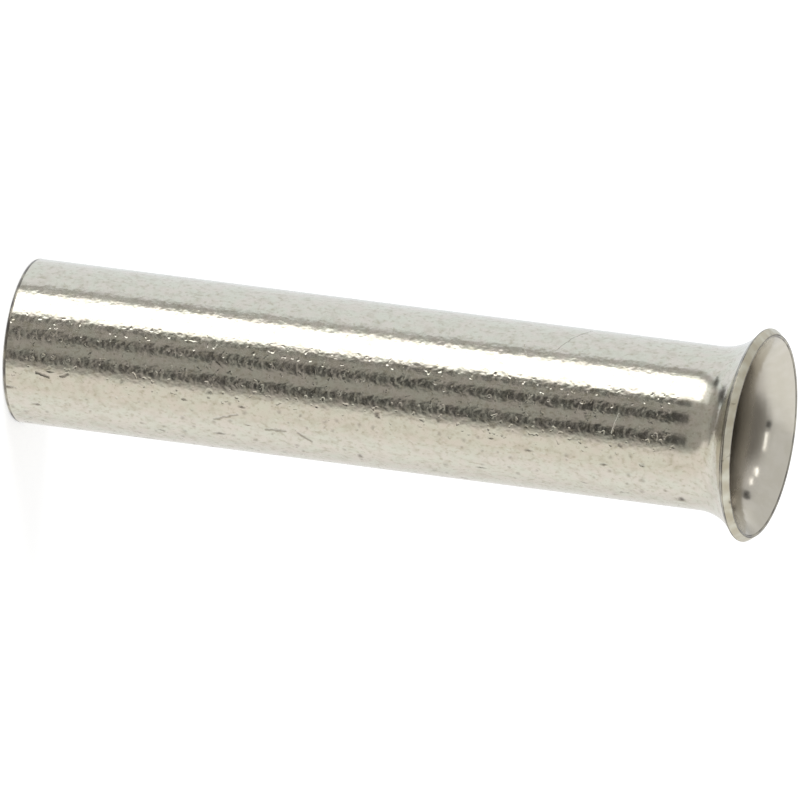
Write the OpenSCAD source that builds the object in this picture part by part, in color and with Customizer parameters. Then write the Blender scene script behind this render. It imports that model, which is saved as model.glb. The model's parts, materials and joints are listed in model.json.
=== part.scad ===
// Wire-end ferrule: a bare crimp sleeve of tinned copper, made from one length of
// thin seamless tube. One end is cut off square; the other is belled out, so that
// the strands of a stripped conductor find their way in.
// It stands on its cut end, with its axis on Z and its mouth at the top.

/* [Barrel] */
// Inside diameter, which takes the twisted strands
bore_d = 2.8; // [0.8:0.1:10]
// Thickness of the tube, the same in the barrel and in the bell
wall = 0.2; // [0.14:0.01:0.5]
// Length over all, from the cut end to the top of the lip
length = 15; // [6:0.5:40]

/* [Bell mouth] */
// Bend radius of the bell, on the outside of the wall
bell_r = 1.2; // [0.4:0.1:3]
// Angle from the axis that the wall has turned through where its lip starts
bell_angle = 53; // [10:1:85]

/* [Trimmed edges] */
// Radius on the corners of the cut end, where the cutter rolled them
cut_edge_r = 0.05; // [0.01:0.01:0.06]
// Radius on the corners of the lip
lip_edge_r = 0.03; // [0.01:0.01:0.06]

/* [Hidden] */
$fn = 96;
// Radius of the bore, and of the inner face of the wall as it bends outwards
bore_r = bore_d / 2;
bend_r = bell_r + wall;
// The highest point is the corner of the lip on the inner face
bell_h = (bend_r - lip_edge_r) * sin(bell_angle) + lip_edge_r;
// Height at which the bend starts, and the straight stretch below it
bend_z = length - bell_h;
barrel_h = bend_z - cut_edge_r;

// Trimmed edge of the wall: a strip as thick as the wall, with its foot on the x axis,
// that ends edge_r above it with both corners rounded
module trimmed_edge(edge_r) {
    translate([edge_r, 0]) square([wall - 2 * edge_r, edge_r]);
    intersection() {
        for (x = [edge_r, wall - edge_r]) translate([x, 0]) circle(edge_r);
        square([wall, edge_r]);
    }
}

// Half section of the barrel, hanging below the origin on the inner face of the wall
module barrel_section() {
    translate([0, -barrel_h]) {
        square([wall, barrel_h]);
        mirror([0, 1]) trimmed_edge(cut_edge_r);
    }
}

// Half section of the bell, above the same origin: the wall follows one arc about a
// centre outside the barrel, and the lip is cut square to the wall
module bell_section() {
    translate([bend_r, 0]) {
        intersection() {
            difference() {
                circle(bend_r);
                circle(bell_r);
            }
            translate([-bend_r, 0]) square(bend_r);
            rotate(-bell_angle) translate([-bend_r, -2 * bend_r]) square(2 * bend_r);
        }
        rotate(-bell_angle) translate([-bend_r, 0]) trimmed_edge(lip_edge_r);
    }
}

// The whole sleeve is one revolve, as it is one piece of tube
module ferrule_sleeve() {
    color("silver") rotate_extrude() translate([bore_r, bend_z]) {
        barrel_section();
        bell_section();
    }
}

ferrule_sleeve();
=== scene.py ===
import json
import math

import bpy
from bpy.props import (
    FloatProperty,
    FloatVectorProperty,
    IntProperty,
    PointerProperty,
)
from mathutils import Matrix, Vector


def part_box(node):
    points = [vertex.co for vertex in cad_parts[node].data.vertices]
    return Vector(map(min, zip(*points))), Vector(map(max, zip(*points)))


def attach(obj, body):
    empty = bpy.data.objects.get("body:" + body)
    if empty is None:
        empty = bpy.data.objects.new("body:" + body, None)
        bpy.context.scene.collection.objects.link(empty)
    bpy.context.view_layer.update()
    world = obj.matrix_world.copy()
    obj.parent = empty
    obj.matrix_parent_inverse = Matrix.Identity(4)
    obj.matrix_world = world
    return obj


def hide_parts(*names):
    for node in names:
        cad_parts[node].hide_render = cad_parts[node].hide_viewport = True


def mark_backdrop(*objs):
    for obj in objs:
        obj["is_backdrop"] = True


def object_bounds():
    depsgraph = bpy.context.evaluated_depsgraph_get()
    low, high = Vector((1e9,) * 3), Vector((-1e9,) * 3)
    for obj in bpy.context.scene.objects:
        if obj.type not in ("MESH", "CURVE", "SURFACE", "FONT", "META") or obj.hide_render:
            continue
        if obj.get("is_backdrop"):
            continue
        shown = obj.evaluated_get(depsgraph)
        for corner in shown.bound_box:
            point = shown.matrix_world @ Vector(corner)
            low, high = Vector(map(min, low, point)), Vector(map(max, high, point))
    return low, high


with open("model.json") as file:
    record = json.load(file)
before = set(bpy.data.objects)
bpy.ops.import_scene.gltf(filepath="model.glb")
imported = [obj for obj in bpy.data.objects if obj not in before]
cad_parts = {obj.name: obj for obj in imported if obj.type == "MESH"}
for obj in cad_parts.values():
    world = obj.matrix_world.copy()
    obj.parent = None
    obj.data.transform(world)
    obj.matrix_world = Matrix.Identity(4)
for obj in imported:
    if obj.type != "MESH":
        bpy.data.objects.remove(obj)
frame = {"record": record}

bl_info = {
    "name": "Wire Ferrule",
    "version": (1, 0, 0),
    "blender": (4, 5, 0),
    "location": "3D View > Sidebar > Ferrule",
    "description": "Models a bare, tin-plated wire ferrule and the light tent it stands in",
    "category": "Object",
}

# --- What the frame says -------------------------------------------------------------

NODE = "ferrule_sleeve"
MM = 0.001
MOUNTS = {mount["name"]: mount["dims"] for mount in frame["record"]["mounts"]}
BORE_R = MOUNTS["bore"]["r_mm"] * MM
BARREL_R = MOUNTS["barrel"]["r_mm"] * MM
FOOT, TOP = (corner.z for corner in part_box(NODE))
CAD_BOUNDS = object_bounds()


# --- Settings ------------------------------------------------------------------------


class SleeveSizes(bpy.types.PropertyGroup):
    """Sizes of the sleeve: a tube with a belled mouth and two trimmed edges"""

    bore_r: FloatProperty(
        name="Bore radius",
        description="Radius of the inside of the barrel",
        default=BORE_R,
        unit="LENGTH",
    )
    barrel_r: FloatProperty(
        name="Barrel radius",
        description="Radius of the outside of the barrel",
        default=BARREL_R,
        unit="LENGTH",
    )
    height: FloatProperty(
        name="Height",
        description="Length over all, from the cut end to the top of the lip",
        default=TOP - FOOT,
        unit="LENGTH",
    )
    bell_r: FloatProperty(
        name="Bell bend radius",
        description="Bend radius of the bell on the outside of the wall",
        default=1.2 * MM,
        unit="LENGTH",
    )
    bell_angle: FloatProperty(
        name="Bell angle",
        description="Angle that the wall has turned through where the lip starts",
        default=math.radians(53),
        unit="ROTATION",
    )
    cut_edge_r: FloatProperty(
        name="Cut edge radius",
        description="Radius on the corners of the cut end",
        default=0.05 * MM,
        unit="LENGTH",
    )
    lip_edge_r: FloatProperty(
        name="Lip edge radius",
        description="Radius on the corners of the lip",
        default=0.03 * MM,
        unit="LENGTH",
    )
    # The strips rubbed bare above the cut and beside the lip get the trimmed edges' dark
    # colour, which is partly broken plating and partly painted shade along the outlines.
    cut_burr: FloatProperty(
        name="Cut burr",
        description="Height of the barrel that is rubbed bare above the cut edge",
        default=0.02 * MM,
        unit="LENGTH",
    )
    lip_burr: FloatProperty(
        name="Lip burr",
        description="Angle of the bell's bend that is rubbed bare outside the lip",
        default=math.radians(4),
        unit="ROTATION",
    )
    inner_burr: FloatProperty(
        name="Inner lip burr",
        description="Angle of the bell's bend that is rubbed bare inside the lip",
        default=math.radians(1.2),
        unit="ROTATION",
    )
    bell_tilt: FloatProperty(
        name="Bell tilt",
        description="How far the belled mouth leans towards +X",
        default=math.radians(0.85),
        unit="ROTATION",
    )
    bell_nod: FloatProperty(
        name="Bell nod",
        description="How far the belled mouth leans towards the front",
        default=math.radians(1.25),
        unit="ROTATION",
    )
    bell_shift: FloatProperty(
        name="Bell shift",
        description="How far the belled mouth stands off the axis towards +X",
        default=0.01 * MM,
        unit="LENGTH",
    )
    bell_drop: FloatProperty(
        name="Bell drop",
        description="How far the belled mouth has been pressed down",
        default=0.028 * MM,
        unit="LENGTH",
    )
    bell_width: FloatProperty(
        name="Bell width",
        description="Width of the belled mouth, as a share of its width when new",
        default=0.994,
        subtype="FACTOR",
    )
    sides: IntProperty(
        name="Sides",
        description="Steps in one turn round the axis",
        default=256,
    )
    ring_gap: FloatProperty(
        name="Ring gap",
        description="Height of one ring of faces on the barrel",
        default=0.16 * MM,
        unit="LENGTH",
    )


class TinPlateLooks(bpy.types.PropertyGroup):
    """Colours and finish of the tin plate"""

    tin: FloatVectorProperty(
        name="Tin",
        description="Colour of the clean plating",
        subtype="COLOR",
        default=(0.64, 0.632, 0.54),
    )
    blush: FloatVectorProperty(
        name="Blush",
        description="Colour of the plating where it has a faint rosy tinge",
        subtype="COLOR",
        default=(0.66, 0.615, 0.54),
    )
    stain: FloatVectorProperty(
        name="Stain",
        description="Colour of the faint stains between the grains",
        subtype="COLOR",
        default=(0.49, 0.46, 0.37),
    )
    grime: FloatVectorProperty(
        name="Grime",
        description="Colour of the dirt in pits and scratches",
        subtype="COLOR",
        default=(0.12, 0.1, 0.08),
    )
    inside: FloatVectorProperty(
        name="Inside",
        description="Colour of the plating inside the sleeve",
        subtype="COLOR",
        default=(0.6, 0.57, 0.5),
    )
    # painted shade: the darker colour given to the wall deep inside, standing in for the
    # shade that falls there
    bore: FloatVectorProperty(
        name="Bore",
        description="Colour of the dull wall deep inside the sleeve",
        subtype="COLOR",
        default=(0.4, 0.37, 0.32),
    )
    lip: FloatVectorProperty(
        name="Lip",
        description="Colour of the face of the lip, where the plating is thin",
        subtype="COLOR",
        default=(0.46, 0.42, 0.32),
    )
    # Near-black partly for broken plating and partly as painted shade along the outlines of
    # the lip and the cut end.
    edge: FloatVectorProperty(
        name="Edge",
        description="Colour of the trimmed edges, where the plating is broken",
        subtype="COLOR",
        default=(0.15, 0.14, 0.13),
    )
    roughness: FloatProperty(
        name="Roughness",
        description="Roughness of the clean plating",
        default=0.14,
        subtype="FACTOR",
    )
    inside_roughness: FloatProperty(
        name="Inside roughness",
        description="Roughness of the plating inside the sleeve",
        default=0.13,
        subtype="FACTOR",
    )
    edge_roughness: FloatProperty(
        name="Edge roughness",
        description="Roughness of the lip and of the trimmed edges",
        default=0.3,
        subtype="FACTOR",
    )
    grain_size: FloatProperty(
        name="Grain size",
        description="Width of one dimple of the plated surface",
        default=0.085 * MM,
        unit="LENGTH",
    )
    grain_depth: FloatProperty(
        name="Grain depth",
        description="Depth of the dimples of the plated surface",
        default=0.0042 * MM,
        unit="LENGTH",
    )


class StudioSettings(bpy.types.PropertyGroup):
    """Camera, floor and light"""

    lens: FloatProperty(
        name="Lens",
        description="Focal length of the camera's long lens, in millimetres",
        default=1600,
        unit="CAMERA",
    )
    frame_width: FloatProperty(
        name="Frame width",
        description="Width of what the camera sees at the sleeve",
        default=15.454 * MM,
        unit="LENGTH",
    )
    look_height: FloatProperty(
        name="Look-at height",
        description="Height on the sleeve's axis at the middle of the camera's view",
        default=7.58 * MM,
        unit="LENGTH",
    )
    aim_below: FloatProperty(
        name="Aim below",
        description="How far below the sleeve's axis, as it sees it, the camera aims",
        default=0.232 * MM,
        unit="LENGTH",
    )
    elevation: FloatProperty(
        name="Elevation",
        description="Angle of the camera above the level of the sleeve",
        default=math.radians(17),
        unit="ROTATION",
    )
    roll: FloatProperty(
        name="Roll",
        description="Slope of the sleeve's axis across the camera's view",
        default=math.radians(7.35),
        unit="ROTATION",
    )
    floor_size: FloatProperty(
        name="Floor size",
        description="Width of the square floor",
        default=2.0,
        unit="LENGTH",
    )
    tent_r: FloatProperty(
        name="Tent radius",
        description="Radius of the light tent",
        default=1.0,
        unit="LENGTH",
    )
    world_light: FloatProperty(
        name="World light",
        description="Strength of the world's light on the floor, where 1 is white",
        default=0.63,
    )
    paper: FloatVectorProperty(
        name="Paper",
        description="Colour of the floor's paper",
        subtype="COLOR",
        default=(0.8, 0.8, 0.8),
    )
    paper_glow: FloatProperty(
        name="Paper glow",
        description="Glow that lifts the floor's paper to white where the camera sees it",
        default=0.5,
    )
    lamp_place: FloatVectorProperty(
        name="Lamp place",
        description="Place of the key lamp, which points at the sleeve's foot",
        subtype="TRANSLATION",
        default=(-0.3, -0.15, 0.4),
    )
    lamp_size: FloatProperty(
        name="Lamp size",
        description="Width of the key lamp",
        default=0.25,
        unit="LENGTH",
    )
    lamp_power: FloatProperty(
        name="Lamp power",
        description="Power of the key lamp",
        default=1.0,
        unit="POWER",
    )


# --- Small helpers -------------------------------------------------------------------


def add_node(tree, kind, links=(), **values):
    """A new node. links and values give its inputs by name or number: sockets to link
    from, or plain values; other names set the node's own properties."""
    new = tree.nodes.new(kind)
    for name, value in values.items():
        setattr(new, name, value)
    for key, value in dict(links).items():
        socket = new.inputs[key]
        if isinstance(value, bpy.types.NodeSocket):
            tree.links.new(value, socket)
        else:
            socket.default_value = value
    return new


def math_node(tree, operation, *inputs, clamp=False):
    """The output of a Math node on sockets or plain numbers."""
    new = add_node(tree, "ShaderNodeMath", enumerate(inputs), operation=operation)
    new.use_clamp = clamp
    return new.outputs[0]


def vector_node(tree, operation, *inputs):
    """The output of a Vector Math node on sockets or plain values."""
    new = add_node(tree, "ShaderNodeVectorMath", enumerate(inputs), operation=operation)
    is_number = operation in {"LENGTH", "DISTANCE", "DOT_PRODUCT"}
    return new.outputs["Value" if is_number else "Vector"]


def split_node(tree, vector):
    """The outputs of a Separate XYZ node: a vector's X, Y and Z."""
    return add_node(tree, "ShaderNodeSeparateXYZ", {0: vector}).outputs


def mix_node(tree, factor, a, b, kind="FLOAT"):
    """The output of a Mix node for plain numbers (FLOAT) or colours (RGBA)."""
    first, result = {"FLOAT": (2, 0), "RGBA": (6, 2)}[kind]
    links = {0: factor, first: a, first + 1: b}
    new = add_node(tree, "ShaderNodeMix", links, data_type=kind)
    return new.outputs[result]


def ramp_between(tree, value, low, high):
    """A smooth step from 0 where value is low to 1 where it is high. A low above the
    high gives a step down."""
    new = add_node(
        tree,
        "ShaderNodeMapRange",
        {"Value": value, "From Min": low, "From Max": high},
        interpolation_type="SMOOTHSTEP",
    )
    return new.outputs[0]


def noise_node(tree, place, size, detail=0.0):
    """Noise with dimples of a given size, in metres or as a socket."""
    if isinstance(size, bpy.types.NodeSocket):
        scale = math_node(tree, "DIVIDE", 1.0, size)
    else:
        scale = 1 / size
    links = {"Vector": place, "Scale": scale, "Detail": detail}
    return add_node(tree, "ShaderNodeTexNoise", links).outputs[0]


def moved(tree, place, scale=(1, 1, 1), turn=0.0, shift=0.0):
    """Coordinates that are turned about Z, scaled and shifted."""
    mapping = add_node(tree, "ShaderNodeMapping", {"Vector": place})
    mapping.inputs["Location"].default_value = (shift, shift, 0)
    mapping.inputs["Rotation"].default_value = (0, 0, turn)
    mapping.inputs["Scale"].default_value = scale
    return mapping.outputs[0]


def round_axis(tree, place):
    """A place's turn round the Z axis, which is 0 at the front and grows towards +X, its
    distance from the axis and its height."""
    axis = split_node(tree, place)
    towards = math_node(tree, "MULTIPLY", axis["Y"], -1.0)
    turn = math_node(tree, "ARCTAN2", axis["X"], towards)
    flat = add_node(tree, "ShaderNodeCombineXYZ", {"X": axis["X"], "Y": axis["Y"]})
    return turn, vector_node(tree, "LENGTH", flat.outputs[0]), axis["Z"]


def new_group(name, result, **inputs):
    """A new node group with its inputs, whose types are given by name, and one output.
    Returns the group, its inputs' sockets and a function that links its output."""
    group = bpy.data.node_groups.new(name, "ShaderNodeTree")
    for label, kind in inputs.items():
        group.interface.new_socket(label, in_out="INPUT", socket_type="NodeSocket" + kind)
    label, kind = result
    group.interface.new_socket(label, in_out="OUTPUT", socket_type="NodeSocket" + kind)
    start = group.nodes.new("NodeGroupInput").outputs
    end = group.nodes.new("NodeGroupOutput").inputs

    def finish(socket):
        group.links.new(socket, end[label])
        return group

    return group, start, finish


def use_group(tree, group, label, **values):
    """Puts a node group into a tree, with its inputs linked or set by name."""
    return add_node(
        tree, "ShaderNodeGroup", values, node_tree=group, label=label
    ).outputs[0]


def new_material(name):
    """A new material that has no nodes yet, and its tree."""
    material = bpy.data.materials.new(name)
    material.use_nodes = True
    material.node_tree.nodes.clear()
    return material, material.node_tree


# --- The sleeve ----------------------------------------------------------------------

CORNER_STEPS = 5         # steps round each rounded corner of the wall
BEND_STEPS = 20          # steps round the bell's bend, up to where it is rubbed bare
LIP_STEPS = 3            # steps across the face of the lip
LEAN_STEPS = 12          # steps in which the bell is set askew
MERGE_GAP = 0.0001 * MM  # points closer than this become one
LIP_REACH = 0.3 * MM     # how far below the top a face can still be one of the lip's

# How squarely faces look in a direction: 1 is straight along it and 0 is across it.
INWARDS = 0.1            # faces inside the sleeve look inwards by more than this
LIP_CORNER = 0.25        # the lip's corners look along its axis by more than this
LIP_FACE = 0.98          # and its face by more than this


def start_outline(name, x, z):
    """A new object in edit mode, whose mesh is the first point of an outline."""
    bpy.ops.object.select_all(action="DESELECT")
    bpy.ops.mesh.primitive_plane_add(size=MM, location=(0, 0, 0))
    piece = bpy.context.object
    piece.name = piece.data.name = name
    bpy.ops.object.mode_set(mode="EDIT")
    bpy.ops.mesh.select_mode(type="VERT")
    bpy.ops.mesh.select_all(action="SELECT")
    bpy.ops.mesh.merge(type="CENTER")
    bpy.ops.transform.translate(value=(x, 0, z))
    return piece


def draw_line(dx, dz, steps=1):
    """Extrudes the selected point of the outline in a straight line."""
    step = (dx / steps, 0, dz / steps)
    for _ in range(steps):
        bpy.ops.mesh.extrude_vertices_move(TRANSFORM_OT_translate={"value": step})


def draw_arc(x, z, angle, steps):
    """Spins the selected point about (x, z). A positive angle turns from +X to +Z."""
    bpy.ops.mesh.spin(steps=steps, angle=angle, center=(x, 0, z), axis=(0, 1, 0))


def bend_start(sizes):
    """The height at which the barrel ends and the bell starts."""
    bend_r = sizes.bell_r + sizes.barrel_r - sizes.bore_r
    bell_height = (bend_r - sizes.lip_edge_r) * math.sin(sizes.bell_angle)
    return sizes.height - bell_height - sizes.lip_edge_r


def draw_wall(name, sizes):
    """The outline of the tube's wall, drawn once round from the cut end."""
    wall = sizes.barrel_r - sizes.bore_r
    cut_r, lip_r = sizes.cut_edge_r, sizes.lip_edge_r
    lip_width = wall - 2 * lip_r
    sin_bell, cos_bell = math.sin(sizes.bell_angle), math.cos(sizes.bell_angle)
    bend_x, bend_z = sizes.barrel_r + sizes.bell_r, bend_start(sizes)
    outer_r, inner_r = sizes.bell_r, sizes.bell_r + wall
    rings = round(bend_z / sizes.ring_gap)
    corner = math.radians(90)

    def on_lip(r):
        """The point where the bend's arc of radius r reaches the bell's angle."""
        return bend_x - r * cos_bell, bend_z + r * sin_bell

    piece = start_outline(name, sizes.bore_r + cut_r, 0)
    draw_line(wall - 2 * cut_r, 0)
    draw_arc(sizes.barrel_r - cut_r, cut_r, corner, CORNER_STEPS)
    draw_line(0, sizes.cut_burr)
    draw_line(0, bend_z - cut_r - sizes.cut_burr, rings)
    draw_arc(bend_x, bend_z, sizes.lip_burr - sizes.bell_angle, BEND_STEPS)
    draw_arc(bend_x, bend_z, -sizes.lip_burr, 1)
    draw_arc(*on_lip(outer_r + lip_r), corner, CORNER_STEPS)
    draw_line(-lip_width * cos_bell, lip_width * sin_bell, LIP_STEPS)
    draw_arc(*on_lip(inner_r - lip_r), corner, CORNER_STEPS)
    draw_arc(bend_x, bend_z, sizes.inner_burr, 1)
    draw_arc(bend_x, bend_z, sizes.bell_angle - sizes.inner_burr, BEND_STEPS)
    draw_line(0, cut_r - bend_z, rings // 2)
    draw_arc(sizes.bore_r + cut_r, cut_r, corner, CORNER_STEPS)
    return piece


def select_points(piece, test):
    """Selects the points of the mesh being edited that pass a test."""
    bpy.ops.object.mode_set(mode="OBJECT")
    for part in (*piece.data.edges, *piece.data.polygons):
        part.select = False
    for point in piece.data.vertices:
        point.select = test(point.co)
    bpy.ops.object.mode_set(mode="EDIT")


def set_askew(piece, sizes):
    """Sets the bell askew, a little more with each step up from where its bend starts."""
    bpy.ops.object.mode_set(mode="EDIT")
    bpy.ops.mesh.select_mode(type="VERT")
    low = bend_start(sizes)
    narrower = sizes.bell_width ** (1 / LEAN_STEPS)
    for step in range(LEAN_STEPS):
        above = low + (sizes.height - low) * step / LEAN_STEPS
        select_points(piece, lambda point: point.z > above)
        bpy.ops.transform.resize(
            value=(narrower, narrower, 1), center_override=(0, 0, low)
        )
        for axis, angle in (("Y", sizes.bell_tilt), ("X", sizes.bell_nod)):
            bpy.ops.transform.rotate(
                value=-angle / LEAN_STEPS, orient_axis=axis, center_override=(0, 0, low)
            )
        bpy.ops.transform.translate(
            value=(sizes.bell_shift / LEAN_STEPS, 0, -sizes.bell_drop / LEAN_STEPS)
        )
    bpy.ops.object.mode_set(mode="OBJECT")


def model_sleeve(name, sizes):
    """Draws the wall's outline and turns it once round the axis."""
    piece = draw_wall(name, sizes)
    bpy.ops.mesh.select_all(action="SELECT")
    bpy.ops.mesh.remove_doubles(threshold=MERGE_GAP)
    bpy.ops.mesh.spin(
        steps=sizes.sides,
        angle=math.radians(360),
        center=(0, 0, 0),
        axis=(0, 0, 1),
        use_auto_merge=True,
    )
    bpy.ops.mesh.select_all(action="SELECT")
    bpy.ops.mesh.remove_doubles(threshold=MERGE_GAP)
    bpy.ops.mesh.normals_make_consistent(inside=False)
    bpy.ops.object.mode_set(mode="OBJECT")
    bpy.ops.object.shade_smooth()
    return piece


def give_material(piece, material, test):
    """Gives a material to the faces whose middle and normal pass a test."""
    piece.data.materials.append(material)
    bpy.ops.object.mode_set(mode="EDIT")
    bpy.ops.mesh.select_mode(type="FACE")
    bpy.ops.mesh.select_all(action="DESELECT")
    bpy.ops.object.mode_set(mode="OBJECT")
    for face in piece.data.polygons:
        face.select = test(face.center, face.normal)
    piece.active_material_index = len(piece.data.materials) - 1
    bpy.ops.object.mode_set(mode="EDIT")
    bpy.ops.object.material_slot_assign()
    bpy.ops.object.mode_set(mode="OBJECT")


def plate_sleeve(piece, sizes, looks):
    """Plates the sleeve outside and inside, and wears its lip and its trimmed edges."""
    groups = TinGroups()
    sin_bell, cos_bell = math.sin(sizes.bell_angle), math.cos(sizes.bell_angle)

    def outwards(middle):
        return Vector((middle.x, middle.y, 0)).normalized()

    def is_inside(middle, normal):
        return normal.dot(outwards(middle)) < -INWARDS

    def lip_facing(middle, normal):
        """1 on the face of the lip and 0 on the bell beside it; -1 further down."""
        if middle.z < sizes.height - LIP_REACH:
            return -1
        return normal.dot(outwards(middle) * sin_bell + Vector((0, 0, cos_bell)))

    def is_lip(middle, normal):
        return lip_facing(middle, normal) > LIP_FACE

    # the lip's corners and the strips beside the lip and above the cut: dark partly from
    # broken plating, partly as painted shade along the outlines
    def is_edge(middle, normal):
        facing = lip_facing(middle, normal)
        is_corner = LIP_CORNER < facing < LIP_FACE
        inside = is_inside(middle, normal)
        is_burr = abs(facing) < math.sin(sizes.inner_burr if inside else sizes.lip_burr)
        return is_corner or is_burr or middle.z < sizes.cut_edge_r + sizes.cut_burr

    lip = worn_edge("Lip", looks, groups, looks.lip, looks.tin)
    # the trimmed edges are dark partly from broken plating and partly as painted shade along
    # the outlines
    edge = worn_edge("Trimmed edge", looks, groups, looks.edge, looks.stain)
    give_material(piece, tin_plate(looks, groups), lambda middle, normal: True)
    give_material(piece, inside_plate(looks, groups), is_inside)
    give_material(piece, lip, is_lip)
    give_material(piece, edge, is_edge)


# --- Finish --------------------------------------------------------------------------

# Marks on the outside of the barrel. Each runs from one point to another, a point being
# the turn round the axis, in degrees from the front towards +X, and the height in
# millimetres; then come its width in millimetres, how far it cuts in and how dark it has
# gone, both from 0 to 1. One shader has little room for more: with 17 marks the sleeve
# renders black.
MARKS = (
    ("pinhole", (63, 13.7), (64, 13.7), 0.22, 1.0, 1.0),
    ("nick by the bell", (25, 14.15), (30, 14.15), 0.05, 0.8, 0.5),
    ("second nick", (25, 14.3), (31, 14.25), 0.05, 0.8, 0.5),
    ("hairline", (-43, 10.95), (-77, 11.4), 0.03, 0.5, 0.5),
    ("bright scratch", (-2, 12.5), (12, 12.4), 0.04, 1.0, 0.0),
    ("scratch over the shoulder", (-46, 10.3), (-36, 10.4), 0.03, 0.6, 0.2),
    ("tick at the foot", (22, 0.7), (24, 0.95), 0.09, 0.7, 0.6),
    ("second tick at the foot", (23, 1.2), (20, 1.35), 0.09, 0.7, 0.6),
    ("curved tick", (41, 4.3), (35, 4.8), 0.08, 0.6, 0.5),
    ("dash", (45, 5.35), (44, 5.75), 0.1, 0.6, 0.6),
    ("slanting dash", (44, 6.0), (51, 6.25), 0.1, 0.6, 0.6),
    ("low spot", (60, 7.2), (62, 7.2), 0.16, 0.6, 0.7),
    ("brown spot", (20, 7.65), (21, 7.65), 0.17, 0.6, 0.7),
)

# Where one finish passes into another, and where painted shade darkens the bore. On the
# outside these are distances round the barrel, from the front towards +X, or heights;
# inside they are heights.
GLINTS_FROM = (-0.6 * MM, -0.45 * MM)
SPECKS_FROM = (0.4 * MM, 0.7 * MM)
BELOW_BELL = (13.8 * MM, 13.4 * MM)
# painted shade: the colour inside darkens from the first height down to the second, and
# stays dark below
PAINTED_BORE_SHADE = (14.7 * MM, 14.3 * MM)
BORE_DULLS = (14.55 * MM, 14.05 * MM)

# Clouds in which the metal is tinted or dull, or in which faults gather: the width of one,
# in millimetres, and the levels of the noise at which it starts and is full.
CLOUDS = {
    "crowding": (1.2, 0.35, 0.65),
    "stains": (0.15, 0.45, 0.75),
    "fine mottle": (0.07, 0.5, 0.75),
    "blush": (0.25, 0.35, 0.65),
    "dull patches": (0.7, 0.4, 0.7),
    "bloom": (0.3, 0.35, 0.7),
    "spots": (0.3, 0.3, 0.85),
}

# Layers of short dashes: their slant in degrees, and the share of the cells that hold one
# where faults gather. Specks have such a share too.
DASH_LAYERS = {"dashes": (5, 0.7), "slanting dashes": (-25, 0.4)}
SPECK_SHARE = 0.9

# How much of each fault shows in the colour, from 0 to 1.
STAINS, MOTTLE, BLOOM = 0.5, 0.75, 0.3
SPECKS, DASHES, NICKS, ALL_DIRT = 0.4, 0.85, 0.6, 0.9

# How deep each fault is, in millimetres.
GLINT_DEPTH, SPECK_DEPTH, DASH_DEPTH = 0.005, 0.004, 0.005
CUT_DEPTH, NICK_DEPTH = 0.01, 0.01

# How much rougher the metal is in patches, in dirt, in the bloom and deep in the bore.
ROUGHER_PATCHES, ROUGHER_DIRT, ROUGHER_BLOOM, ROUGHER_BORE = 0.04, 0.25, 0.05, 0.2

ALONG_SLEEVE = (1, 1, 0.85)  # scale that draws the grain out along the sleeve
PRESSED = 0.3                # depth of the grain on the bell, as a share of the barrel's
INSIDE_GRAIN = 0.2           # the same inside the sleeve
PRESSED_GRAIN = 0.1 * MM     # width of a dimple inside the sleeve and on the edges


def unrolled_group():
    """Unrolls the barrel: X is the way round, Y the height and Z the distance from the
    barrel's outside."""
    group, start, finish = new_group(
        "Unrolled barrel", ("Sheet", "Vector"), Place="Vector", Radius="Float"
    )
    turn, reach, height = round_axis(group, start["Place"])
    around = math_node(group, "MULTIPLY", turn, start["Radius"])
    off = math_node(group, "SUBTRACT", reach, start["Radius"])
    sheet = add_node(group, "ShaderNodeCombineXYZ", {"X": around, "Y": height, "Z": off})
    return finish(sheet.outputs[0])


def mark_group():
    """Draws one straight mark with rounded ends on the unrolled barrel: 1 along its
    middle and 0 outside it."""
    group, start, finish = new_group(
        "Mark", ("Mark", "Float"),
        Sheet="Vector", Start="Vector", End="Vector", Width="Float",
    )
    run = vector_node(group, "SUBTRACT", start["End"], start["Start"])
    reach = vector_node(group, "SUBTRACT", start["Sheet"], start["Start"])
    along = vector_node(group, "DOT_PRODUCT", reach, run)
    whole = vector_node(group, "DOT_PRODUCT", run, run)
    share = math_node(group, "DIVIDE", along, whole, clamp=True)
    nearest = vector_node(group, "MULTIPLY", run, share)
    gap = vector_node(group, "DISTANCE", reach, nearest)
    half = math_node(group, "MULTIPLY", start["Width"], 0.5)
    return finish(ramp_between(group, gap, half, 0.0))


def pits_group():
    """Scatters small pits over the unrolled barrel: one in each cell, of mixed sizes,
    with a share of the cells left empty."""
    group, start, finish = new_group(
        "Pits", ("Pit", "Float"),
        Sheet="Vector", Spacing="Float", Radius="Float", Share="Float",
    )
    scale = math_node(group, "DIVIDE", 1.0, start["Spacing"])
    cells = add_node(
        group,
        "ShaderNodeTexVoronoi",
        {"Vector": start["Sheet"], "Scale": scale},
        voronoi_dimensions="2D",
    ).outputs
    lot = add_node(group, "ShaderNodeSeparateColor", {0: cells["Color"]}).outputs
    reach = math_node(group, "MULTIPLY", cells["Distance"], start["Spacing"])
    smallest = 0.4
    size = math_node(group, "MULTIPLY_ADD", lot[0], 1 - smallest, smallest)
    rim = math_node(group, "MULTIPLY", size, start["Radius"])
    pit = ramp_between(group, reach, rim, 0.0)
    kept = math_node(group, "LESS_THAN", lot[1], start["Share"])
    return finish(math_node(group, "MULTIPLY", pit, kept))


def grain_group():
    """The skin of the plating: fine dimples on a slower swell. Its Height has the unit
    of its Depth."""
    group, start, finish = new_group(
        "Plating grain", ("Height", "Float"), Place="Vector", Size="Float", Depth="Float"
    )
    fine = noise_node(group, start["Place"], start["Size"], detail=0.7)
    times_as_wide, share = 3.0, 0.6
    swell_size = math_node(group, "MULTIPLY", start["Size"], times_as_wide)
    swell = noise_node(group, start["Place"], swell_size)
    height = math_node(group, "MULTIPLY_ADD", swell, share, fine)
    return finish(math_node(group, "MULTIPLY", height, start["Depth"]))


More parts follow.
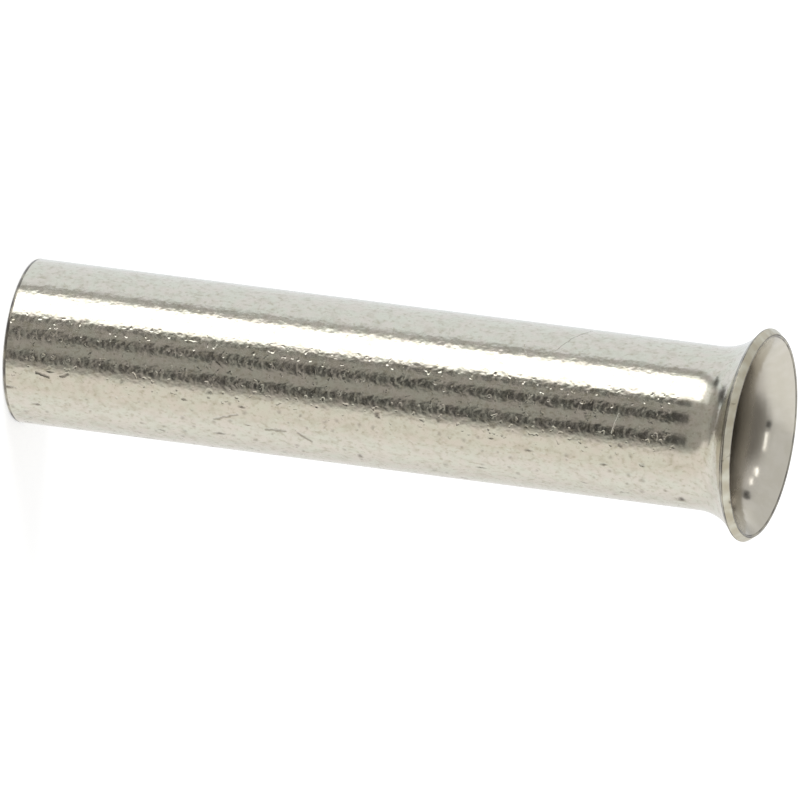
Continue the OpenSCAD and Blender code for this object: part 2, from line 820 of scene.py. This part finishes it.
def flecks_group():
    """Small ragged flecks: 1 where fine noise is at its highest, 0 below Low."""
    group, start, finish = new_group(
        "Flecks", ("Fleck", "Float"), Place="Vector", Size="Float", Low="Float"
    )
    noise = noise_node(group, start["Place"], start["Size"], detail=1.0)
    softness = 0.14
    high = math_node(group, "ADD", start["Low"], softness)
    return finish(ramp_between(group, noise, start["Low"], high))


def clouds_group():
    """Soft patches, from 0 to 1, drawn out along the sleeve."""
    group, start, finish = new_group(
        "Clouds", ("Cloud", "Float"),
        Place="Vector", Size="Float", Low="Float", High="Float",
    )
    place = moved(group, start["Place"], scale=(1, 1, 0.8), shift=0.01)
    noise = noise_node(group, place, start["Size"], detail=2.0)
    return finish(ramp_between(group, noise, start["Low"], start["High"]))


class TinGroups:
    """The node groups that the sleeve's materials share."""

    def __init__(self):
        self.unrolled = unrolled_group()
        self.mark = mark_group()
        self.pits = pits_group()
        self.grain = grain_group()
        self.flecks = flecks_group()
        self.clouds = clouds_group()


def new_metal(name):
    """A new metal material, its shader and the place on the object."""
    material = bpy.data.materials.new(name)
    material.use_nodes = True
    tree = material.node_tree
    shader = tree.nodes["Principled BSDF"]
    shader.inputs["Metallic"].default_value = 1.0
    place = add_node(tree, "ShaderNodeTexCoord").outputs["Object"]
    return material, tree, shader, place


def set_relief(tree, shader, height):
    """Bumps a shader by a height in millimetres."""
    bump = add_node(tree, "ShaderNodeBump", {"Height": height, "Distance": MM})
    tree.links.new(bump.outputs["Normal"], shader.inputs["Normal"])


def sheet_point(turn, height):
    """A point on the unrolled barrel, from degrees round it and millimetres up it."""
    return math.radians(turn) * BARREL_R, height * MM, 0.0


def made_ragged(tree, place, sheet):
    """The sheet, shifted a little here and there, which makes marks on it ragged."""
    size, reach = 0.1 * MM, 0.07 * MM
    noise = add_node(tree, "ShaderNodeTexNoise", {"Vector": place, "Scale": 1 / size})
    wobble = vector_node(tree, "SUBTRACT", noise.outputs["Color"], (0.5, 0.5, 0.5))
    wobble = vector_node(tree, "MULTIPLY", wobble, (reach, reach, 0))
    return vector_node(tree, "ADD", sheet, wobble)


def handling_marks(tree, groups, sheet):
    """How deep and how dark the marks with a place of their own are."""
    cuts = dark = 0.0
    for name, start, end, width, depth, darkness in MARKS:
        line = use_group(
            tree, groups.mark, name,
            Sheet=sheet, Start=sheet_point(*start), End=sheet_point(*end), Width=width * MM,
        )
        cut = math_node(tree, "MULTIPLY", line, depth)
        cuts = math_node(tree, "MAXIMUM", cuts, cut)
        stain = math_node(tree, "MULTIPLY", line, darkness)
        dark = math_node(tree, "MAXIMUM", dark, stain)
    return cuts, dark


def clouds(tree, groups, name, place):
    """One layer of clouds, from 0 to 1."""
    size, low, high = CLOUDS[name]
    return use_group(
        tree, groups.clouds, name, Place=place, Size=size * MM, Low=low, High=high
    )


def scattered_faults(tree, groups, place, sheet, ragged):
    """Where the barrel is, below the bell, and the faults that are scattered over it:
    glints, and specks and dashes that gather in places."""
    crowd = clouds(tree, groups, "crowding", place)
    glints = use_group(
        tree, groups.flecks, "glints",
        Place=moved(tree, place, shift=0.02), Size=0.12 * MM, Low=0.62,
    )
    spot = split_node(tree, sheet)
    side = ramp_between(tree, spot["X"], *SPECKS_FROM)
    barrel = ramp_between(tree, spot["Y"], *BELOW_BELL)
    crowd = math_node(tree, "MULTIPLY", crowd, math_node(tree, "MULTIPLY", side, barrel))
    front = ramp_between(tree, spot["X"], *GLINTS_FROM)
    glints = math_node(tree, "MULTIPLY", glints, math_node(tree, "MULTIPLY", front, barrel))
    specks = use_group(
        tree, groups.pits, "dark specks",
        Sheet=moved(tree, ragged, shift=0.003), Spacing=0.36 * MM, Radius=0.09 * MM,
        Share=math_node(tree, "MULTIPLY", crowd, SPECK_SHARE),
    )
    dashes = 0.0
    for name, (slant, share) in DASH_LAYERS.items():
        layer = use_group(
            tree, groups.pits, name,
            Sheet=moved(tree, ragged, (1, 0.3, 1), math.radians(slant), 0.001 * slant),
            Spacing=0.5 * MM, Radius=0.06 * MM,
            Share=math_node(tree, "MULTIPLY", crowd, share),
        )
        dashes = math_node(tree, "MAXIMUM", dashes, layer)
    return barrel, glints, specks, dashes


def stained_tin(tree, looks, groups, place):
    """The colour of clean tin with a rosy tinge in places, stained between its grains."""
    stains = clouds(tree, groups, "stains", place)
    mottle = clouds(tree, groups, "fine mottle", place)
    blush = clouds(tree, groups, "blush", place)
    stains = math_node(tree, "MULTIPLY", stains, STAINS)
    stains = math_node(tree, "MULTIPLY_ADD", mottle, MOTTLE, stains)
    colour = mix_node(tree, blush, (*looks.tin, 1), (*looks.blush, 1), "RGBA")
    return mix_node(tree, stains, colour, (*looks.stain, 1), "RGBA")


def tin_plate(looks, groups):
    """Bright tin plate with its grain, pits, stains and handling marks."""
    material, tree, shader, place = new_metal("Tin plate")
    sheet = use_group(tree, groups.unrolled, "unrolled", Place=place, Radius=BARREL_R)
    ragged = made_ragged(tree, place, sheet)
    cuts, dark = handling_marks(tree, groups, ragged)
    faults = scattered_faults(tree, groups, place, sheet, ragged)
    barrel, glints, specks, dashes = faults

    # colour: stained tin, dirty in the specks, the dashes and the dark marks
    colour = stained_tin(tree, looks, groups, place)
    faint = math_node(tree, "MULTIPLY", specks, SPECKS)
    dirt = math_node(tree, "MULTIPLY", dashes, DASHES)
    dirt = math_node(tree, "MAXIMUM", faint, dirt)
    dirt = math_node(tree, "MAXIMUM", dirt, dark)
    dirt = math_node(tree, "MULTIPLY", dirt, ALL_DIRT)
    colour = mix_node(tree, dirt, colour, (*looks.grime, 1), "RGBA")
    tree.links.new(colour, shader.inputs["Base Color"])

    # gloss: rougher in the dirt and in faint patches
    dull = clouds(tree, groups, "dull patches", place)
    rough = math_node(tree, "MULTIPLY_ADD", dull, ROUGHER_PATCHES, looks.roughness)
    rough = math_node(tree, "MULTIPLY_ADD", dirt, ROUGHER_DIRT, rough)
    tree.links.new(rough, shader.inputs["Roughness"])

    # relief: pits and cuts in a grain that the bell's punch has pressed flatter above
    pressed = math_node(tree, "MULTIPLY_ADD", barrel, 1 - PRESSED, PRESSED)
    height = use_group(
        tree, groups.grain, "grain",
        Place=moved(tree, place, scale=ALONG_SLEEVE),
        Size=looks.grain_size, Depth=looks.grain_depth / MM,
    )
    height = math_node(tree, "MULTIPLY", height, pressed)
    for mask, depth in (
        (glints, GLINT_DEPTH), (specks, SPECK_DEPTH), (dashes, DASH_DEPTH), (cuts, CUT_DEPTH)
    ):
        height = math_node(tree, "MULTIPLY_ADD", mask, -depth, height)
    set_relief(tree, shader, height)
    return material


def inside_plate(looks, groups):
    """The plating inside the sleeve: smoother, with a faint bloom, and dull deep in the
    bore, where its colour is darkened as painted shade."""
    material, tree, shader, place = new_metal("Tin plate, inside")
    bloom = clouds(tree, groups, "bloom", place)
    share = math_node(tree, "MULTIPLY", bloom, BLOOM)
    colour = mix_node(tree, share, (*looks.inside, 1), (*looks.stain, 1), "RGBA")
    height = split_node(tree, place)["Z"]
    # painted shade: the colour goes darker deep in the bore, where shade falls
    dark = ramp_between(tree, height, *PAINTED_BORE_SHADE)
    dull = ramp_between(tree, height, *BORE_DULLS)
    colour = mix_node(tree, dark, colour, (*looks.bore, 1), "RGBA")
    tree.links.new(colour, shader.inputs["Base Color"])
    rough = math_node(tree, "MULTIPLY_ADD", bloom, ROUGHER_BLOOM, looks.inside_roughness)
    rough = math_node(tree, "MULTIPLY_ADD", dull, ROUGHER_BORE, rough)
    tree.links.new(rough, shader.inputs["Roughness"])
    relief = use_group(
        tree, groups.grain, "grain",
        Place=place, Size=PRESSED_GRAIN, Depth=INSIDE_GRAIN * looks.grain_depth / MM,
    )
    set_relief(tree, shader, relief)
    return material


def worn_edge(name, looks, groups, metal, spots):
    """A worn edge: metal of one colour with spots of another, nicked here and there."""
    material, tree, shader, place = new_metal(name)
    patches = clouds(tree, groups, "spots", place)
    nicks = use_group(
        tree, groups.flecks, "nicks", Place=place, Size=0.16 * MM, Low=0.66
    )
    colour = mix_node(tree, patches, (*metal, 1), (*spots, 1), "RGBA")
    dirt = math_node(tree, "MULTIPLY", nicks, NICKS)
    colour = mix_node(tree, dirt, colour, (*looks.grime, 1), "RGBA")
    tree.links.new(colour, shader.inputs["Base Color"])
    shader.inputs["Roughness"].default_value = looks.edge_roughness
    height = use_group(
        tree, groups.grain, "grain",
        Place=place, Size=PRESSED_GRAIN, Depth=looks.grain_depth / MM,
    )
    height = math_node(tree, "MULTIPLY_ADD", nicks, -NICK_DEPTH, height)
    set_relief(tree, shader, height)
    return material


# --- Studio --------------------------------------------------------------------------

WARM, COOL, PLAIN = (1.03, 1.0, 0.95), (0.99, 1.03, 1.08), (1.0, 1.0, 1.0)

# The panels of the light tent, in the order they are hung: the compass range that each
# covers, seen from the sleeve with 0 towards the camera and 90 towards +X, its range of
# elevation, how round its corners are and how soft its edges, all in degrees, its
# brightness and its tint.
TENT_PANELS = (
    ("back wall, right", (160, 210), (-30, 95), 5, 20, 0.6, PLAIN),
    ("back wall, left", (-210, -150), (-30, 95), 5, 20, 0.6, PLAIN),
    ("ceiling", (-200, 28), (20, 95), 0, 20, 0.78, PLAIN),
    ("far ceiling", (60, 170), (15, 95), 0, 20, 1.08, PLAIN),
    ("dim wall", (-60, 75), (-95, 39), 60, 28, 0.31, WARM),
    ("far doorway", (-108, -92), (15, 24), 4, 5, 0.12, PLAIN),
    ("near doorway", (13, 25), (35, 43), 3, 5, 0.06, PLAIN),
    ("front lamp", (-22, 6), (37, 40), 1, 3, 3.2, PLAIN),
    ("side lamp", (-64, -50), (29, 33), 2, 3, 3.4, PLAIN),
    ("second side lamp", (-80, -68), (23, 27), 2, 3, 2.8, PLAIN),
    ("table", (-200, 200), (-95, 2), 0, 14, 1.05, PLAIN),
    ("cool side", (-200, -75), (-95, 2), 0, 20, 0.97, COOL),
    ("far side", (120, 200), (-95, 2), 0, 25, 0.94, PLAIN),
    ("haze", (27, 80), (-95, 2), 0, 28, 0.94, WARM),
    ("shade", (17, 39), (-60, 2), 20, 13, 0.42, WARM),
    ("slot", (-40, 28), (-95, 2), 10, 3, 0.42, WARM),
    ("wide slot", (-86, 27), (-95, -52), 6, 10, 0.47, WARM),
    ("foot of the slot", (-110, 48), (-95, -70), 0, 14, 0.3, WARM),
    ("table edge", (15, 30), (-19, 4), 4, 6, 0.04, PLAIN),
    ("lens", (-16, -1), (-19, 4), 4, 5, 0.05, PLAIN),
    ("stand", (-33, -26), (-19, 4), 3, 4, 0.08, PLAIN),
    ("rim", (-84, -70), (-50, 4), 5, 6, 0.47, PLAIN),
    ("softbox", (-70, -37), (-39, 7), 10, 6, 2.4, PLAIN),
    ("dark corner", (-96, -76), (-56, -46), 4, 5, 0.1, PLAIN),
    ("second dark corner", (-138, -88), (-74, -63), 4, 6, 0.11, PLAIN),
)


def panel_group():
    """Hangs one panel, a rectangle with rounded corners, in front of the light."""
    group, start, finish = new_group(
        "Tent panel", ("Light", "Color"),
        Behind="Color", Colour="Color", Round="Float", Softness="Float",
        Compass="Float", West="Float", East="Float",
        Elevation="Float", Low="Float", High="Float",
    )
    reach = []
    for value, first, last in (("Compass", "West", "East"), ("Elevation", "Low", "High")):
        middle = math_node(group, "ADD", start[first], start[last])
        middle = math_node(group, "MULTIPLY", middle, 0.5)
        half = math_node(group, "SUBTRACT", start[last], middle)
        inner = math_node(group, "SUBTRACT", half, start["Round"])
        off = math_node(group, "SUBTRACT", start[value], middle)
        off = math_node(group, "SUBTRACT", math_node(group, "ABSOLUTE", off), inner)
        reach.append(off)
    beyond = [math_node(group, "MAXIMUM", off, 0.0) for off in reach]
    corner = add_node(group, "ShaderNodeCombineXYZ", enumerate(beyond)).outputs[0]
    within = math_node(group, "MAXIMUM", *reach)
    within = math_node(group, "MINIMUM", within, 0.0)
    gap = math_node(group, "ADD", vector_node(group, "LENGTH", corner), within)
    gap = math_node(group, "SUBTRACT", gap, start["Round"])
    half_soft = math_node(group, "MULTIPLY", start["Softness"], 0.5)
    inner_edge = math_node(group, "MULTIPLY", half_soft, -1.0)
    mask = ramp_between(group, gap, half_soft, inner_edge)
    return finish(mix_node(group, mask, start["Behind"], start["Colour"], "RGBA"))


def tent_cloth():
    """The glowing cloth of the tent, with its panels."""
    material, tree = new_material("Tent cloth")
    place = add_node(tree, "ShaderNodeTexCoord").outputs["Object"]
    turn, reach, height = round_axis(tree, place)
    compass = math_node(tree, "DEGREES", turn)
    elevation = math_node(tree, "ARCTAN2", height, reach)
    elevation = math_node(tree, "DEGREES", elevation)
    group = panel_group()
    light = (1.0, 1.0, 1.0, 1.0)
    for name, (west, east), (low, high), corner, soft, level, tint in TENT_PANELS:
        light = use_group(
            tree, group, name,
            Behind=light, Colour=(*(level * part for part in tint), 1.0),
            Compass=compass, West=west, East=east,
            Elevation=elevation, Low=low, High=high, Round=corner, Softness=soft,
        )
    glow = add_node(tree, "ShaderNodeEmission", {"Color": light})
    add_node(tree, "ShaderNodeOutputMaterial", {"Surface": glow.outputs[0]})
    material.cycles.emission_sampling = "NONE"
    return material


def floor_paper(studio):
    """White paper that shows soft shadows and is white to the camera elsewhere."""
    material, tree = new_material("Floor paper")
    path = add_node(tree, "ShaderNodeLightPath").outputs
    paper = add_node(tree, "ShaderNodeBsdfDiffuse", {"Color": (*studio.paper, 1)})
    lift = math_node(tree, "MULTIPLY", path["Is Camera Ray"], studio.paper_glow)
    glow = add_node(tree, "ShaderNodeEmission", {"Strength": lift})
    both = add_node(tree, "ShaderNodeAddShader", {0: paper.outputs[0], 1: glow.outputs[0]})
    add_node(tree, "ShaderNodeOutputMaterial", {"Surface": both.outputs[0]})
    return material


def light_world(studio):
    """Makes the world white to the camera and in reflections, and softer as light."""
    world = bpy.data.worlds.new("Studio")
    bpy.context.scene.world = world
    world.use_nodes = True
    tree = world.node_tree
    tree.nodes.clear()
    path = add_node(tree, "ShaderNodeLightPath").outputs
    seen = math_node(tree, "ADD", path["Is Camera Ray"], path["Is Glossy Ray"])
    seen = math_node(tree, "ADD", seen, path["Is Transmission Ray"], clamp=True)
    strength = mix_node(tree, seen, studio.world_light, 1.0)
    links = {"Color": (1, 1, 1, 1), "Strength": strength}
    back = add_node(tree, "ShaderNodeBackground", links)
    add_node(tree, "ShaderNodeOutputWorld", {"Surface": back.outputs[0]})


def hang_lamp(studio):
    """Hangs the key lamp and points it at the sleeve's foot."""
    bpy.ops.object.light_add(type="AREA", location=tuple(studio.lamp_place))
    lamp = bpy.context.object
    lamp.name = "key_lamp"
    lamp.data.size = studio.lamp_size
    lamp.data.energy = studio.lamp_power
    lamp.visible_glossy = False
    towards = Vector((0, 0, 0)) - lamp.location
    lamp.rotation_euler = towards.to_track_quat("-Z", "Y").to_euler()


def place_camera(studio):
    """Places a long lens, rolled so that the standing sleeve lies across the view."""
    bpy.ops.object.camera_add()
    camera = bpy.context.object
    camera.name = "Camera"
    camera.data.lens = studio.lens
    distance = studio.frame_width * studio.lens / camera.data.sensor_width
    nearest, furthest = 0.1, 10  # what the camera sees, as shares of its distance
    camera.data.clip_start = distance * nearest
    camera.data.clip_end = distance * furthest
    up, roll = studio.elevation, studio.roll
    back = Vector((0, -math.cos(up), math.sin(up)))
    upright = Vector((0, math.sin(up), math.cos(up)))
    side = Vector((1, 0, 0))
    right = upright * math.cos(roll) - side * math.sin(roll)
    above = -upright * math.sin(roll) - side * math.cos(roll)
    turn = Matrix((right, above, back)).transposed().to_4x4()
    target = Vector((0, 0, FOOT + studio.look_height)) - above * studio.aim_below
    camera.matrix_world = Matrix.Translation(target + back * distance) @ turn
    bpy.context.scene.camera = camera


# --- Operators -----------------------------------------------------------------------


class FERRULE_OT_sleeve(bpy.types.Operator):
    """Model the sleeve and plate it with tin"""

    bl_idname = "ferrule.sleeve"
    bl_label = "Sleeve"

    def execute(self, context):
        sizes, looks = context.scene.ferrule_sizes, context.scene.ferrule_looks
        sleeve = model_sleeve("sleeve", sizes)
        plate_sleeve(sleeve, sizes, looks)
        set_askew(sleeve, sizes)
        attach(sleeve, "root")
        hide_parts(NODE)
        return {"FINISHED"}


class FERRULE_OT_stage(bpy.types.Operator):
    """Set up the floor, the light tent, the lamp and the camera"""

    bl_idname = "ferrule.stage"
    bl_label = "Stage"

    def execute(self, context):
        studio = context.scene.ferrule_studio
        bpy.ops.object.select_all(action="DESELECT")
        bpy.ops.mesh.primitive_plane_add(size=studio.floor_size, location=(0, 0, FOOT))
        floor = context.object
        floor.name = "floor"
        floor.data.materials.append(floor_paper(studio))
        floor.visible_glossy = False
        bpy.ops.mesh.primitive_uv_sphere_add(
            segments=64,
            ring_count=32,
            radius=studio.tent_r,
            location=(0, 0, FOOT + studio.look_height),
        )
        tent = context.object
        tent.name = "light_tent"
        tent.data.materials.append(tent_cloth())
        tent.visible_camera = tent.visible_diffuse = tent.visible_shadow = False
        tent.visible_transmission = False
        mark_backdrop(floor, tent)
        hang_lamp(studio)
        light_world(studio)
        place_camera(studio)
        context.scene.view_settings.view_transform = "Standard"
        return {"FINISHED"}


class FERRULE_PT_panel(bpy.types.Panel):
    """The ferrule's pieces and settings"""

    bl_label = "Wire Ferrule"
    bl_space_type = "VIEW_3D"
    bl_region_type = "UI"
    bl_category = "Ferrule"

    def draw(self, context):
        layout = self.layout
        for settings in ("ferrule_sizes", "ferrule_looks", "ferrule_studio"):
            group = getattr(context.scene, settings)
            column = layout.column(align=True)
            for name in group.__annotations__:
                column.prop(group, name)
        for operator in (FERRULE_OT_sleeve, FERRULE_OT_stage):
            layout.operator(operator.bl_idname)


CLASSES = (
    SleeveSizes,
    TinPlateLooks,
    StudioSettings,
    FERRULE_OT_sleeve,
    FERRULE_OT_stage,
    FERRULE_PT_panel,
)


def register():
    for cls in CLASSES:
        bpy.utils.register_class(cls)
    bpy.types.Scene.ferrule_sizes = PointerProperty(type=SleeveSizes)
    bpy.types.Scene.ferrule_looks = PointerProperty(type=TinPlateLooks)
    bpy.types.Scene.ferrule_studio = PointerProperty(type=StudioSettings)


def unregister():
    for name in ("ferrule_sizes", "ferrule_looks", "ferrule_studio"):
        delattr(bpy.types.Scene, name)
    for cls in reversed(CLASSES):
        bpy.utils.unregister_class(cls)


def main():
    """Registers the add-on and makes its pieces."""
    register()
    bpy.ops.ferrule.sleeve()
    bpy.ops.ferrule.stage()
    boxes = {"cad": CAD_BOUNDS, "visual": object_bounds()}
    boxes = {name: [list(corner) for corner in box] for name, box in boxes.items()}


if __name__ == "__main__":
    main()
